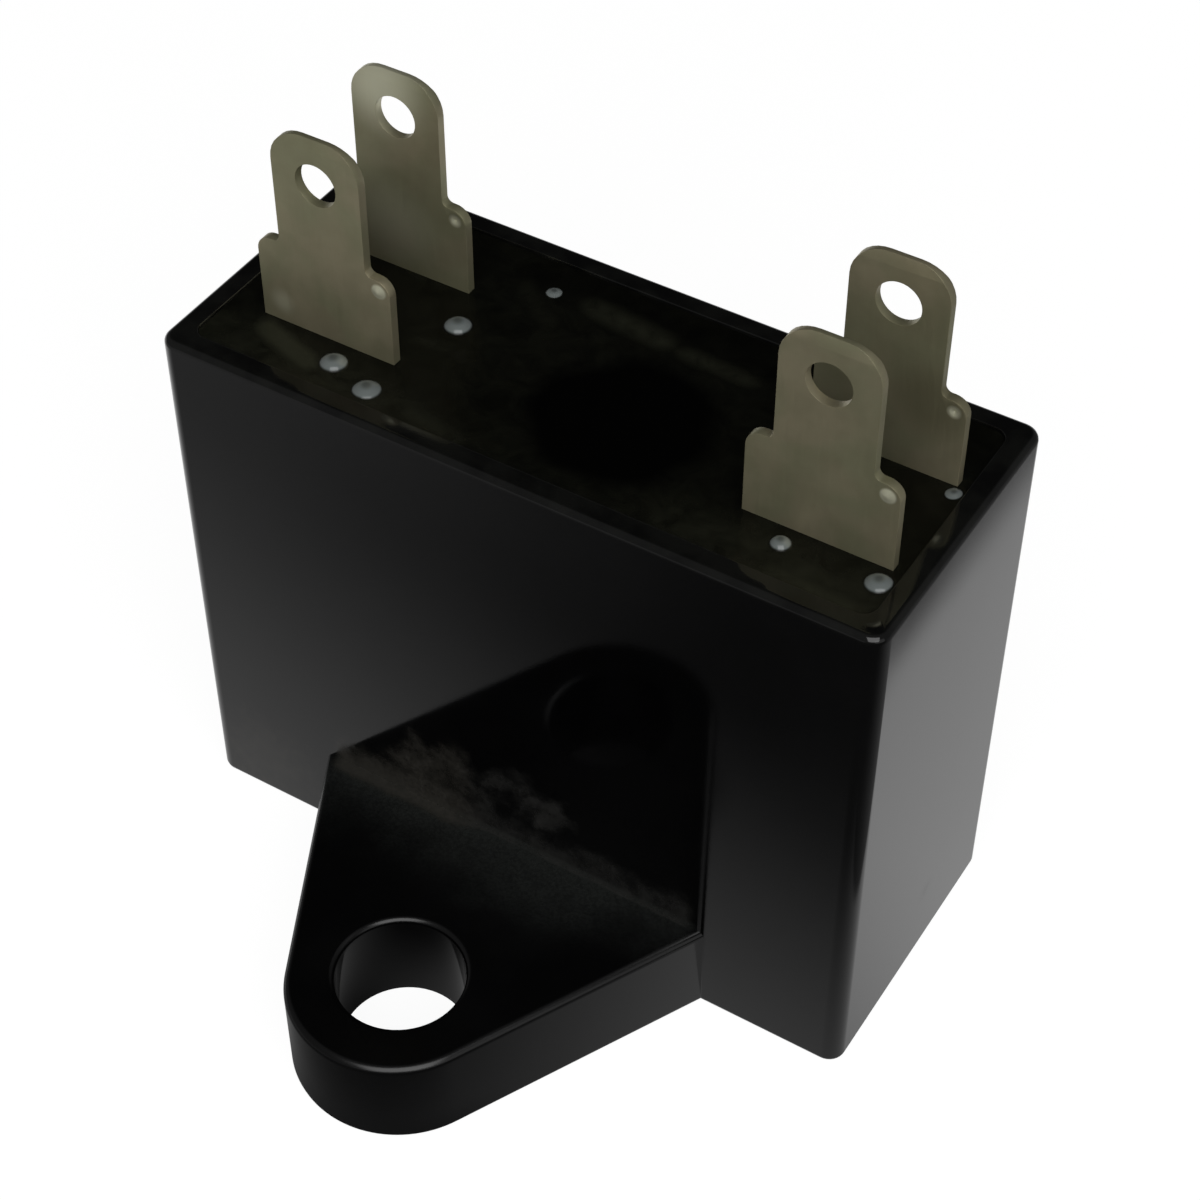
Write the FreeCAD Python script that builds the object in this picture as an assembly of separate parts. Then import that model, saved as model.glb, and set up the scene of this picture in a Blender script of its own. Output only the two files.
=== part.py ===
import FreeCAD, Part
import math
import os

# Motor run capacitor: a wound film element potted in an open moulded box, with one mounting
# ear on the front of the box and two double blade terminals standing out of the resin.
#
# Millimetres. The origin is the centre of the ear's hole on the base plane. X runs along the
# long side of the box, Y runs from the ear into the box, and Z is up, the way the blades point.

# Case: box and ear in one moulding.
case_length = 38.0
case_depth = 16.0
case_height = 30.0
case_wall = 1.2                 # at the rim
case_floor = 1.5
cavity_draft_deg = 0.5          # the cavity narrows towards the floor
cavity_corner_radius = 0.7
case_corner_radius = 0.9        # upright outside corners
rim_radius = 0.4                # outside edge of the rim
base_chamfer = 0.3              # all round the base

# Ear: a flat tongue, level with the base.
ear_reach = 9.75                # from the front face to the middle of the hole
ear_thickness = 5.5
ear_tip_radius = 5.5
ear_tip_beyond_hole = 0.25      # middle of the tip's arc, past the middle of the hole
ear_root_half_width = 11.3
ear_root_fillet = 0.8
ear_edge_radius = 0.4
hole_radius = 3.2
hole_lip_chamfer = 0.3

# Resin: filled almost to the rim, climbing a little up the wall and up each blade.
fill_recess = 0.3
climb_height = 0.2
climb_width_wall = 0.6
climb_width_blade = 0.5
climb_crest = 0.08

# Terminals: each one stamped strip, folded to a U with its web under the resin.
sheet_thickness = 0.5
blade_width = 4.8
body_width = 7.4
blade_tip_above_rim = 10.85
shoulder_above_rim = 4.4
tip_corner_radius = 1.7
shoulder_radius = 0.8
shoulder_notch_radius = 0.35
tip_bevel_height = 0.6
tip_bevel_depth = 0.12
detent_radius = 1.1
detent_below_tip = 2.4
blade_pitch = 6.2               # front blade to back blade
fold_radius = 0.8               # inside the fold
web_depth_below_rim = 3.0       # rim to the upper side of the web
terminal_setback = -0.25        # the pair's middle, from the middle of the box
terminal_insets = {"left": 6.75, "right": 5.45}     # from the box's end to the pair's middle

# Wound element: a flattened roll with its axis along X, wrapped in plain film.
element_end_room = 3.7          # sprayed end to the wall
element_side_room = 1.3         # wrap to the wall
element_below_web = 2.0
element_above_floor = 1.0
element_end_flat = 0.6          # flat left between the round edges of the pressed roll
wrap_thickness = 0.25
spray_thickness = 0.6

# Leads: one straight tinned wire from each sprayed end up through the web above it.
lead_radius = 0.4
lead_standoff = 0.15            # solder between the wire and what it is soldered to
lead_above_web = 0.5
spray_joint_below_top = 9.5     # from the top of the element
spray_joint_radius = 1.9
spray_joint_depth = 1.15
web_joint_radius = 1.1
web_joint_depth = 0.9
joint_crown_share = 0.5         # a joint's crown, as a share of its foot

# Places worked out from the sizes above.
front_face = ear_reach
case_middle = front_face + case_depth / 2
fill_level = case_height - fill_recess
climb_level = fill_level + climb_height
blade_tip = case_height + blade_tip_above_rim
shoulder_level = case_height + shoulder_above_rim
web_top = case_height - web_depth_below_rim
web_bottom = web_top - sheet_thickness
terminal_middle = case_middle + terminal_setback
sides = {"left": -1, "right": 1}
terminal_places = {side: sign * (case_length / 2 - terminal_insets[side]) for side, sign in sides.items()}
element_bottom = case_floor + element_above_floor
element_top = web_bottom - element_below_web
element_thickness = case_depth - 2 * (case_wall + element_side_room)
spray_face = case_length / 2 - case_wall - element_end_room
element_length = 2 * (spray_face - spray_thickness)
lead_place = spray_face + lead_standoff + lead_radius
spray_joint_height = element_top - spray_joint_below_top


def on_level(z):
    """Place a drawing's (x, y) on a level plane."""
    return lambda x, y: FreeCAD.Vector(x, y, z)


def facing_front(y):
    """Place a drawing's (x, z) on an upright plane that faces the front."""
    return lambda x, z: FreeCAD.Vector(x, y, z)


def facing_side(x):
    """Place a drawing's (y, z) on an upright plane that faces the side."""
    return lambda y, z: FreeCAD.Vector(x, y, z)


def outline(corners, place):
    """Closed wire through corners (u, v, radius), each one rounded by its radius."""
    stretches = []
    for index, (u, v, radius) in enumerate(corners):
        corner = FreeCAD.Vector(u, v, 0)
        before = FreeCAD.Vector(*corners[index - 1][:2], 0).sub(corner).normalize()
        after = FreeCAD.Vector(*corners[(index + 1) % len(corners)][:2], 0).sub(corner).normalize()
        half_angle = before.getAngle(after) / 2
        run = radius / math.tan(half_angle)
        inward = before.add(after).normalize()
        middle = corner.add(inward.multiply(radius / math.sin(half_angle) - radius))
        start = corner.add(before.multiply(run))
        end = corner.add(after.multiply(run))
        stretches.append([place(point.x, point.y) for point in (start, middle, end)])
    edges = []
    for index, (start, middle, end) in enumerate(stretches):
        last_end = stretches[index - 1][2]
        if last_end.distanceToPoint(start) > 1e-6:
            edges.append(Part.LineSegment(last_end, start).toShape())
        if start.distanceToPoint(end) > 1e-6:
            edges.append(Part.Arc(start, middle, end).toShape())
    return Part.Wire(edges)


def plate(corners, place, direction):
    """Solid made by pushing a rounded outline along a direction."""
    return Part.Face(outline(corners, place)).extrude(direction)


def rectangle(half_u, low_v, high_v, radius=0.0, middle_u=0.0):
    """Corners of an upright rectangle about middle_u, all with one radius."""
    left, right = middle_u - half_u, middle_u + half_u
    return [(left, low_v, radius), (right, low_v, radius), (right, high_v, radius), (left, high_v, radius)]


def level_edges(shape, z, wanted=lambda box: True):
    """Edges of a shape that lie wholly at one height and that pass a test of their box."""
    boxes = [(edge, edge.BoundBox) for edge in shape.Edges]
    return [edge for edge, box in boxes
            if abs(box.ZMin - z) < 1e-4 and abs(box.ZMax - z) < 1e-4 and wanted(box)]


def cavity_section(z, inset=0.0):
    """The cavity's outline at one height, or that outline drawn inwards by an inset."""
    narrowing = (case_height - z) * math.tan(math.radians(cavity_draft_deg))
    edge = case_wall + narrowing + inset
    front, back = front_face + edge, front_face + case_depth - edge
    radius = max(cavity_corner_radius - inset, 0.1)
    return outline(rectangle(case_length / 2 - edge, front, back, radius), on_level(z))


def make_cavity():
    """The box's hollow, run on a little above the rim."""
    above_rim = case_height + case_wall
    return Part.makeLoft([cavity_section(case_floor), cavity_section(above_rim)], True, True)


def make_case():
    """Open box with a floor, and the ear with its hole, as one moulding."""
    up = FreeCAD.Vector(0, 0, 1)
    back_face = front_face + case_depth
    box_corners = rectangle(case_length / 2, front_face, back_face, case_corner_radius)
    box = plate(box_corners, on_level(0), up * case_height)
    body = box.fuse(make_ear()).removeSplitter()
    body = body.makeFillet(rim_radius, level_edges(body, case_height))
    body = body.makeChamfer(base_chamfer, level_edges(body, 0))
    lip_reach = hole_radius + hole_lip_chamfer
    lip_foot = FreeCAD.Vector(0, 0, ear_thickness - hole_lip_chamfer)
    hole = Part.makeCylinder(hole_radius, ear_thickness)
    lip = Part.makeCone(hole_radius, lip_reach, hole_lip_chamfer, lip_foot)
    return body.cut(make_cavity()).cut(hole.fuse(lip))


def make_ear():
    """Tongue with straight sides that run off the tip's arc, rooted in the front wall."""
    tip_reach = ear_reach + ear_tip_beyond_hole
    root_distance = math.hypot(ear_root_half_width, tip_reach)
    side_turn = math.atan2(tip_reach, ear_root_half_width) - math.acos(ear_tip_radius / root_distance)
    meeting_point = ear_tip_radius / math.sin(side_turn) - ear_tip_beyond_hole
    flank = ear_root_half_width + 2 * ear_root_fillet
    rooted = front_face + case_wall / 2
    corners = [
        (flank, rooted, 0),
        (-flank, rooted, 0),
        (-flank, front_face, 0),
        (-ear_root_half_width, front_face, ear_root_fillet),
        (0, meeting_point, ear_tip_radius),
        (ear_root_half_width, front_face, ear_root_fillet),
        (flank, front_face, 0),
    ]
    ear = plate(corners, on_level(0), FreeCAD.Vector(0, 0, ear_thickness))
    top_rim = level_edges(ear, ear_thickness, lambda box: box.YMin < front_face - 1e-4)
    return ear.makeFillet(ear_edge_radius, top_rim)


def make_terminal(side):
    """Strip folded to a U, with a shouldered and bevelled blade at each end."""
    middle = terminal_places[side]
    across = FreeCAD.Vector(1, 0, 0)
    along = FreeCAD.Vector(0, 1, 0)
    half_pitch = blade_pitch / 2
    half_out = half_pitch + sheet_thickness / 2
    half_in = half_pitch - sheet_thickness / 2
    outer_fold = fold_radius + sheet_thickness
    half_body, half_blade = body_width / 2, blade_width / 2
    start = middle - half_body
    top = blade_tip

    def folded_block(half, low, radius):
        near, far = terminal_middle - half, terminal_middle + half
        corners = [(near, low, radius), (far, low, radius), (far, top, 0), (near, top, 0)]
        return plate(corners, facing_side(start), across * body_width)

    strip = folded_block(half_out, web_bottom, outer_fold).cut(folded_block(half_in, web_top, fold_radius))

    stamped = [
        (middle - half_body, web_bottom, 0),
        (middle + half_body, web_bottom, 0),
        (middle + half_body, shoulder_level, shoulder_radius),
        (middle + half_blade, shoulder_level, shoulder_notch_radius),
        (middle + half_blade, top, tip_corner_radius),
        (middle - half_blade, top, tip_corner_radius),
        (middle - half_blade, shoulder_level, shoulder_notch_radius),
        (middle - half_body, shoulder_level, shoulder_radius),
    ]
    first_face = terminal_middle - half_out
    blank = plate(stamped, facing_front(first_face), along * (2 * half_out))
    terminal = strip.common(blank)

    detent_at = FreeCAD.Vector(middle, first_face, top - detent_below_tip)
    terminal = terminal.cut(Part.makeCylinder(detent_radius, 2 * half_out, detent_at, along))
    for blade in (-half_pitch, half_pitch):
        for face in (-1, 1):
            skin = terminal_middle + blade + face * sheet_thickness / 2
            inner_edge = skin - face * tip_bevel_depth
            wedge = [(skin, top - tip_bevel_height, 0), (skin, top, 0), (inner_edge, top, 0)]
            terminal = terminal.cut(plate(wedge, facing_side(start), across * body_width))
    lead_hole = upright_wire(side, web_bottom, web_top, lead_radius + lead_standoff)
    return terminal.cut(lead_hole).removeSplitter()


def roll(length, grow, start):
    """Flattened roll about the element's middle, grown outwards by a margin."""
    half_thickness = element_thickness / 2 - wrap_thickness + grow
    low = element_bottom + wrap_thickness - grow
    high = element_top - wrap_thickness + grow
    round_edge = half_thickness - element_end_flat / 2
    corners = rectangle(half_thickness, low, high, round_edge, case_middle)
    return plate(corners, facing_side(start), FreeCAD.Vector(length, 0, 0))


def make_winding():
    """The film roll itself, pressed flat."""
    return roll(element_length, 0, -element_length / 2)


def make_outer_wrap():
    """Plain film turned round the roll, open at both ends."""
    return roll(element_length, wrap_thickness, -element_length / 2).cut(make_winding())


def make_end_spray(side):
    """Sprayed metal that joins the film's edges at one end of the roll."""
    near = element_length / 2 if side == "right" else -spray_face
    return roll(spray_thickness, 0, near)


def upright_wire(side, low, high, radius):
    """Upright round bar on the line of one lead."""
    foot = FreeCAD.Vector(sides[side] * lead_place, case_middle, low)
    return Part.makeCylinder(radius, high - low, foot)


def make_lead(side):
    """Wire that rises along the sprayed end and through the web."""
    foot = spray_joint_height - spray_joint_radius / 2
    return upright_wire(side, foot, web_top + lead_above_web, lead_radius)


def make_spray_solder(side):
    """Solder mound that holds the lead's foot to the sprayed end."""
    foot = FreeCAD.Vector(sides[side] * spray_face, case_middle, spray_joint_height)
    outwards = FreeCAD.Vector(sides[side], 0, 0)
    crown = spray_joint_radius * joint_crown_share
    mound = Part.makeCone(spray_joint_radius, crown, spray_joint_depth, foot, outwards)
    return mound.cut(make_lead(side))


def make_web_solder(side):
    """Solder on the web that runs down round the lead into its hole."""
    foot = FreeCAD.Vector(sides[side] * lead_place, case_middle, web_top)
    crown = web_joint_radius * joint_crown_share
    mound = Part.makeCone(web_joint_radius, crown, web_joint_depth, foot)
    in_hole = upright_wire(side, web_bottom, web_top, lead_radius + lead_standoff)
    return mound.fuse(in_hole).cut(make_lead(side))


def climb(low_outline, high_outline):
    """Sloping skirt or dish between two outlines of the resin's surface."""
    return Part.makeLoft([low_outline, high_outline], True, True)


def make_resin_fill(inner_pieces):
    """Potting resin: fills the cavity round everything that lies in it."""
    above = Part.makeBox(2 * case_length, 2 * case_depth, case_height)
    above.translate(FreeCAD.Vector(-case_length, case_middle - case_depth, climb_level))
    fill = make_cavity().cut(above)
    dish_low = cavity_section(fill_level, climb_width_wall)
    dish_high = cavity_section(climb_level, climb_crest)
    fill = fill.cut(climb(dish_low, dish_high))
    for middle in terminal_places.values():
        for blade in (-blade_pitch / 2, blade_pitch / 2):
            blade_middle = terminal_middle + blade
            skirts = []
            for level, spread in ((fill_level, climb_width_blade), (climb_level, climb_crest)):
                half_depth = sheet_thickness / 2 + spread
                low, high = blade_middle - half_depth, blade_middle + half_depth
                corners = rectangle(body_width / 2 + spread, low, high, spread, middle)
                skirts.append(outline(corners, on_level(level)))
            fill = fill.fuse(climb(*skirts))
    return fill.cut(inner_pieces).removeSplitter()


def make_pieces():
    """All pieces of the capacitor by name."""
    pieces = {"winding": make_winding(), "outer_wrap": make_outer_wrap()}
    for side in sides:
        pieces["end_spray_" + side] = make_end_spray(side)
        pieces["lead_" + side] = make_lead(side)
        pieces["spray_solder_" + side] = make_spray_solder(side)
        pieces["web_solder_" + side] = make_web_solder(side)
        pieces["terminal_" + side] = make_terminal(side)
    pieces["resin_fill"] = make_resin_fill(list(pieces.values()))
    pieces["case"] = make_case()
    return pieces


os.makedirs("parts", exist_ok=True)
for name, shape in make_pieces().items():
    solid = shape.Solids[0] if len(shape.Solids) == 1 else shape
    solid.exportStep("parts/" + name + ".step")
    print(name, len(shape.Solids), "solid", shape.isValid(), round(shape.Volume, 1), "mm3")
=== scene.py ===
import math

import bmesh
import bpy
from bmesh.types import BMEdge, BMFace, BMVert
from mathutils import Matrix, Vector, noise


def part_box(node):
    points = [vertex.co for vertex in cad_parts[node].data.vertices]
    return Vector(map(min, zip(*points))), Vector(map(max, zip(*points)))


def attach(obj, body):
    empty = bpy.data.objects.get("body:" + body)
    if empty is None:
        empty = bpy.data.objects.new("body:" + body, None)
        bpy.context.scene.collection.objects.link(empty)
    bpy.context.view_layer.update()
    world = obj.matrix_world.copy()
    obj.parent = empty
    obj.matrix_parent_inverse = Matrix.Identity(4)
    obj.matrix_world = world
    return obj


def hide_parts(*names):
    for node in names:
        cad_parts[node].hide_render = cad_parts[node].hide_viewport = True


# Motor run capacitor: black moulded box with one mounting ear, filled with glossy dark resin,
# and two folded double terminals of tinned strip that stand out of the resin.
#
# Shapes are drawn in millimetres in the part's own frame and scaled to metres at the end:
# the origin is the middle of the ear's hole on the base, X runs along the box, Y runs from
# the ear into the box, and Z is up.

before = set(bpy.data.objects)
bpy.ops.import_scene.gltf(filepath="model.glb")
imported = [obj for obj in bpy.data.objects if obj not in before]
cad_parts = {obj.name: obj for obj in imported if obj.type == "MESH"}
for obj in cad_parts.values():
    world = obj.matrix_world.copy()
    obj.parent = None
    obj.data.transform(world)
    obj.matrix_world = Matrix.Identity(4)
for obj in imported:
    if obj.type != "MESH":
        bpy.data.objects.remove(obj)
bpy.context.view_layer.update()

MM = 0.001
UP = Vector((0, 0, 1))
ACROSS = Vector((1, 0, 0))
ALONG = Vector((0, 1, 0))
SIDES = ("left", "right")


def box_mm(node):
    """Lowest and highest corner of a CAD node, in millimetres."""
    low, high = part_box(node)
    return low / MM, high / MM


def middle_mm(node):
    """Middle of a CAD node's box, in millimetres."""
    low, high = box_mm(node)
    return (low + high) / 2


case_low, case_high = box_mm("case")
resin_top = box_mm("resin_fill")[1].z

# Case and ear
case_depth = 16.0
case_wall = 1.2
case_floor = 1.5
cavity_draft = math.radians(0.5)
cavity_corner_radius = 0.7
case_corner_radius = 0.9
rim_radius = 0.4
rim_inner_radius = 0.07
base_radius = 0.3
ear_thickness = 5.5
ear_tip_radius = 5.5
ear_root_half_width = 11.3
ear_root_fillet = 0.8
ear_edge_radius = 0.4
hole_radius = 3.2
hole_lip = 0.3
front_face = case_high.y - case_depth
ear_tip_middle = case_low.y + ear_tip_radius
# How far the ear's sides turn from straight ahead, and how far they turn off the front wall
ear_reach = front_face - ear_tip_middle
side_turn = (math.acos(ear_tip_radius / math.hypot(ear_root_half_width, ear_reach))
             - math.atan2(ear_reach, ear_root_half_width))
root_turn = math.pi / 2 - side_turn
# The cavity's depth, and the middle and half sides of its mouth
cavity_depth = case_high.z - case_floor
cavity_middle_y = case_high.y - case_depth / 2
cavity_half_x = case_high.x - case_wall
cavity_half_y = case_depth / 2 - case_wall

# Resin surface
fill_recess = 0.3
fill_level = case_high.z - fill_recess
climb_height_wall = 0.12
climb_height_blade = 0.07
climb_width_wall = 0.9
climb_width_blade = 0.4
resin_cell = 0.12
ripple_height = 0.012
# Scale, layer and share of each wave of the ripple
ripple_waves = [
    (0.35, 0, 1.0),
    (1.1, 9, 0.4),
]
# x, y, radius, height of each bubble at the surface
bubbles = [
    (-11.07, 12.87, 0.70, 0.36),
    (-8.67, 12.10, 0.72, 0.32),
    (-7.68, 18.13, 0.70, 0.36),
    (-5.16, 22.60, 0.42, 0.16),
    (12.34, 13.15, 0.50, 0.30),
    (17.06, 13.18, 0.66, 0.32),
    (17.30, 19.86, 0.42, 0.16),
]

# Terminals
sheet_thickness = 0.5
blade_width = 4.8
body_width = 7.4
shoulder_above_rim = 4.4
tip_corner_radius = 1.7
shoulder_radius = 0.8
shoulder_notch_radius = 0.35
tip_bevel_height = 0.6
tip_bevel_depth = 0.12
detent_radius = 1.1
detent_below_tip = 2.4
fold_radius = 0.8
lead_hole_radius = 0.55
sheet_edge_radius = 0.05
dimple_radius = 0.44
dimple_height = 0.12
dimple_from_edge = 0.6
dimple_below_shoulder = 0.6

# How finely round stretches are drawn
tip_segments = 40
corner_segments = 8
ear_hole_segments = 64
detent_segments = 40
small_hole_segments = 24
fold_segments = 10
dimple_rings = 4
bubble_cuts = 3
rounding_segments = 5
lip_segments = 4
fine_rounding_segments = 3
sheet_edge_segments = 2

# Distances up to these count as none
same_place = 1e-4
on_plane = 1e-5
clear_of_edge = 0.01
# Faces that turn by less than this are joined, and edges that turn by more than these are rounded
flat_angle = math.radians(0.05)
moulded_edge_angle = math.radians(30)
cut_edge_angle = math.radians(50)

# A span says where something starts to change and where it ends. A range gives its values there.
FULL = (0.0, 1.0)
NOISE_MIDDLE = 0.5
patch_span = (0.35, 0.65)
speck_span = (0.3, 0.7)
dust_cover_span = (0.15, 1.15)
dust_speck_span = (0.25, 0.75)
dust_speck_range = (0.7, 1.0)

# Finish of the case
plastic_black = (0.0005, 0.0005, 0.0006)
plastic_worn = (0.0015, 0.0015, 0.0016)
plastic_roughness = (0.06, 0.09)
rim_worn = (0.0062, 0.0064, 0.0056)
rim_wear_span = (case_high.z - 0.5, case_high.z - 0.1)
rim_wear_patches = (0.35, 0.62)
rim_wear_range = (0.25, 1.0)
dust_roughness = 0.5
ear_top_skin = (0.2, 0.6)
ear_top_dulled_span = (0.0, 0.8)
ear_top_dulled = 0.35
ear_side_margin = 1.2
# Strip of dust low on the front wall: higher, deeper and warmer left of the middle
dust_grey = (0.0225, 0.0225, 0.0215)
dust_warm = (0.0262, 0.0240, 0.0195)
dust_warmth_range = (0.2, 1.0)
strip_left_span = (-4.0, -0.5)
strip_end_span = (-8.5, -5.5)
strip_end_drop = 0.6
strip_wander = 2.0
strip_height_span = (0.6, 3.4)
strip_cover_range = (0.67, 1.0)
strip_depth_range = (0.25, 0.95)
strip_edge_span = (0.3, 1.2)
# x, z, reach and strength of each cloud of dust on the front wall, and how far their outlines drift
wall_clouds = [
    (-5.0, 8.2, 3.4, 0.84),
    (-3.3, 8.5, 3.4, 0.78),
    (-1.8, 7.7, 3.2, 0.74),
    (2.0, 8.6, 3.0, 0.84),
    (0.0, 9.9, 2.6, 0.62),
]
cloud_core = 0.1
cloud_drift = (4.5, 2.0, 4.5)
# Haze on the ear's top, which draws back to the wall on the right and a little on the left
ear_haze = (0.0163, 0.0178, 0.0166)
haze_span = (-0.2, 7.0)
haze_wander = 3.4
haze_power = 1.8
haze_speck_range = (0.7, 1.25)
haze_right_span = (4.0, 9.5)
haze_right_loss = 2.0
haze_left_span = (-3.5, -0.5)
haze_left_loss = 0.6
# Dust in the front wall's lower left corner, and a smudge on the right end
corner_dust_middle = (case_low.x + 3.5, front_face, 2.0)
corner_dust_span = (1.0, 6.5)
corner_dust_cover = 0.62
smudge_middle = (19.0, 18.7, 4.4)
smudge_span = (0.5, 1.6)
smudge_strength = 0.25

# Finish of the resin
resin_black = (0.0006, 0.0006, 0.0005)
# Olive of the resin's haze, which also serves as painted reflection of the terminals and walls
resin_haze_and_reflection = (0.0225, 0.0234, 0.0152)
haze_and_reflection_mottling = (0.5, 1.3)
glossy_span = (0.0, 0.5)
resin_roughness = (0.16, 0.26)
# Pale ring of each bubble, fainter at its middle: partly the bubble's own paleness, partly a painted
# glint
bubble_pale_and_glint = (0.16, 0.18, 0.176)
bubble_gloss = 0.06
bubble_edge_span = (0.02, 0.16)
bubble_crown_span = (0.45, 0.9)
bubble_crown_range = (1.0, 0.45)
# Round clear place without haze or painted reflection, and how far its outline bends
clear_middle = (2.4, 16.3, fill_level)
clear_edge_span = (4.7, 6.1)
clear_bend = 2.0
# Middle x, middle y, slope, half length, half width and strength of each pale mark, partly haze and
# partly painted reflection of the terminals
pale_marks_and_reflections = [
    (-0.9, 22.4, -0.10, 3.2, 1.3, 0.75),
    (4.2, 21.9, -0.05, 2.8, 1.0, 0.65),
    (-13.7, 12.8, -0.30, 2.6, 1.2, 1.30),
    (-4.7, 11.5, -0.20, 2.6, 1.5, 0.55),
    (9.3, 12.6, 0.00, 1.6, 1.6, 0.50),
    (14.8, 11.3, -0.05, 3.4, 1.2, 0.85),
    (-8.1, 16.4, 0.20, 1.6, 0.9, 0.40),
    (-5.3, 21.3, -0.60, 2.2, 1.8, 0.30),
    (-12.6, 20.9, -0.40, 2.4, 1.2, 0.35),
]
mark_end_span = (0.5, 1.1)
# Paler strip along the front wall, weaker in the middle, and a faint one along the back wall, both partly
# haze and partly painted reflection
front_strip_span = (11.2, 15.0)
front_strip_range = (0.50, 0.15)
front_middle_span = (3.0, 9.0)
front_middle_range = (0.5, 1.0)
back_strip_span = (21.5, 23.5)
back_strip_range = (0.20, 0.10)

# Finish of the terminals
tin_cool = (0.375, 0.365, 0.228)
tin_warm = (0.435, 0.390, 0.257)
tin_dark = (0.25, 0.235, 0.14)
# Paler tin of the painted highlights on the dimples and spots
painted_tin_highlight = (0.80, 0.79, 0.59)
tin_roughness = (0.42, 0.5)
tin_stain_strength = 0.25
# Painted shade on the back-right blade's body: its middle, span and strength
painted_shade_middle = (15.6, 20.1, 33.8)
painted_shade_span = (0.6, 3.0)
painted_shade_strength = 0.85
# Middle, reach and strength of each spot of painted light, and the share of its reach that is evenly pale
painted_light_spots = [
    ((-14.8, 14.15, 30.9), 0.9, 0.45),
    ((-13.0, 20.1, 39.9), 3.2, 1.0),
    ((-12.6, 20.1, 32.4), 3.0, 0.35),
]
painted_light_core = 0.1

# Floor: its brightness to the camera, and by place to what the object's gloss mirrors
floor_half_size = 1500
floor_drop = 0.02
floor_glow = 1.165
floor_seen_share = 0.8
floor_mirrored_share = 0.9
mirror_far_span = (-11.0, 23.0)
mirror_far_range = (0.0, 0.70)
mirror_far_slope = 0.12
mirror_left_span = (-52.0, 4.5)
mirror_left_range = (0.25, 0.0)
mirror_right_span = (28.3, 30.2)
mirror_right_range = (1.0, 0.22)
below_ear_span = (4.5, 7.0)
below_hole_span = (-1.5, 3.0)
below_hole_range = (-0.88, -0.30)
below_hole_slope = 0.4

# Room and lamps
room_light = 0.13
room_dark = 0.02
dark_corner = (-0.37, 0.60, 0.71)
dark_span = (0.7, 0.93)
lamp_target = (0, 14, 20)
# Name, place, size and power of each lamp
lamps = [
    ("overhead", (294, -420, 482), 700, 3.7),
    ("side_fill", (520, -220, 120), 500, 0.3),
]

# Camera: its place, and the ways to its right and behind it
camera_place = (48.307, -60.263, 107.989)
camera_right = (0.85167, 0.52408, 0.00095)
camera_back = (0.36921, -0.60127, 0.70863)
camera_lens = 78.71
camera_sensor = 36
camera_clip = (0.01, 10)


# Mesh helpers

def everything(bm):
    """All vertices, edges and faces."""
    return [*bm.verts, *bm.edges, *bm.faces]


def of_kind(kind, items):
    """Those items that are vertices, edges or faces."""
    return [item for item in items if isinstance(item, kind)]


def piece(name, bm, material, replaced, sharp_angle=35):
    """Turns a bmesh in millimetres into a piece of the object, smooth between its sharp edges."""
    bmesh.ops.scale(bm, vec=Vector((MM, MM, MM)), verts=bm.verts)
    mesh = bpy.data.meshes.new(name)
    bm.to_mesh(mesh)
    bm.free()
    mesh.shade_smooth()
    mesh.set_sharp_from_angle(angle=math.radians(sharp_angle))
    mesh.materials.append(material)
    obj = bpy.data.objects.new(name, mesh)
    bpy.context.scene.collection.objects.link(obj)
    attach(obj, "root")
    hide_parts(replaced)
    return obj


def even_shading(obj):
    """Large flat faces keep flat shading beside small round ones."""
    weighted = obj.modifiers.new("even_shading", "WEIGHTED_NORMAL")
    weighted.keep_sharp = True


def round_corner(bm, vert, reach):
    """Rounds one corner of a flat face, from a reach before it to a reach after it."""
    bmesh.ops.bevel(bm, geom=[vert], offset=reach, segments=corner_segments, profile=0.5,
                    affect="VERTICES", material=-1)


def flat_face(bm, corners):
    """One flat face through corners (point, radius), with those corners rounded."""
    others = set(bm.faces)
    verts = [bm.verts.new(point) for point, radius in corners]
    bm.faces.new(verts)
    for vert, (point, radius) in zip(verts, corners):
        if radius > 0:
            before, after = [edge.other_vert(vert).co - vert.co for edge in vert.link_edges]
            round_corner(bm, vert, radius / math.tan(before.angle(after) / 2))
    return next(face for face in bm.faces if face not in others)


def ring(bm, middle, radius, normal, segments):
    """Closed loop of edges round a middle point."""
    turn = UP.rotation_difference(normal).to_matrix().to_4x4()
    made = bmesh.ops.create_circle(bm, segments=segments, radius=radius,
                                   matrix=Matrix.Translation(middle) @ turn)
    return list(dict.fromkeys(edge for vert in made["verts"] for edge in vert.link_edges))


def open_face(bm, face, loops):
    """Replaces a flat face by flat ones that leave the loops of edges inside it open."""
    edges = list(face.edges)
    bmesh.ops.delete(bm, geom=[face], context="FACES_ONLY")
    for loop in loops:
        edges += loop
    bmesh.ops.triangle_fill(bm, edges=edges, use_beauty=True)


def split_at(bm, place, normal):
    """Cuts every face that crosses a plane in two."""
    bmesh.ops.bisect_plane(bm, geom=everything(bm), dist=on_plane, plane_co=place, plane_no=normal)


def join_flat_faces(bm):
    """Turns all faces outwards and joins those that lie flat together."""
    bmesh.ops.recalc_face_normals(bm, faces=bm.faces)
    bmesh.ops.dissolve_limit(bm, angle_limit=flat_angle, verts=bm.verts, edges=bm.edges,
                             use_dissolve_boundaries=False)


def round_edges(bm, edges, radius, segments):
    """Rounds a set of edges."""
    bmesh.ops.bevel(bm, geom=edges, offset=radius, segments=segments, profile=0.5,
                    affect="EDGES", material=-1, clamp_overlap=True)


def in_order(bm):
    """Sorts vertices, edges and faces by their places, so that each run gives the same mesh."""
    apart = 1e4

    def rank(place):
        """Place as one number."""
        x, y, z = (round(value, 3) for value in place)
        return (x * apart + y) * apart + z

    bm.verts.sort(key=lambda vert: rank(vert.co))
    bm.edges.sort(key=lambda edge: rank(edge.verts[0].co + edge.verts[1].co))
    bm.faces.sort(key=lambda face: rank(face.calc_center_median()))


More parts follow.
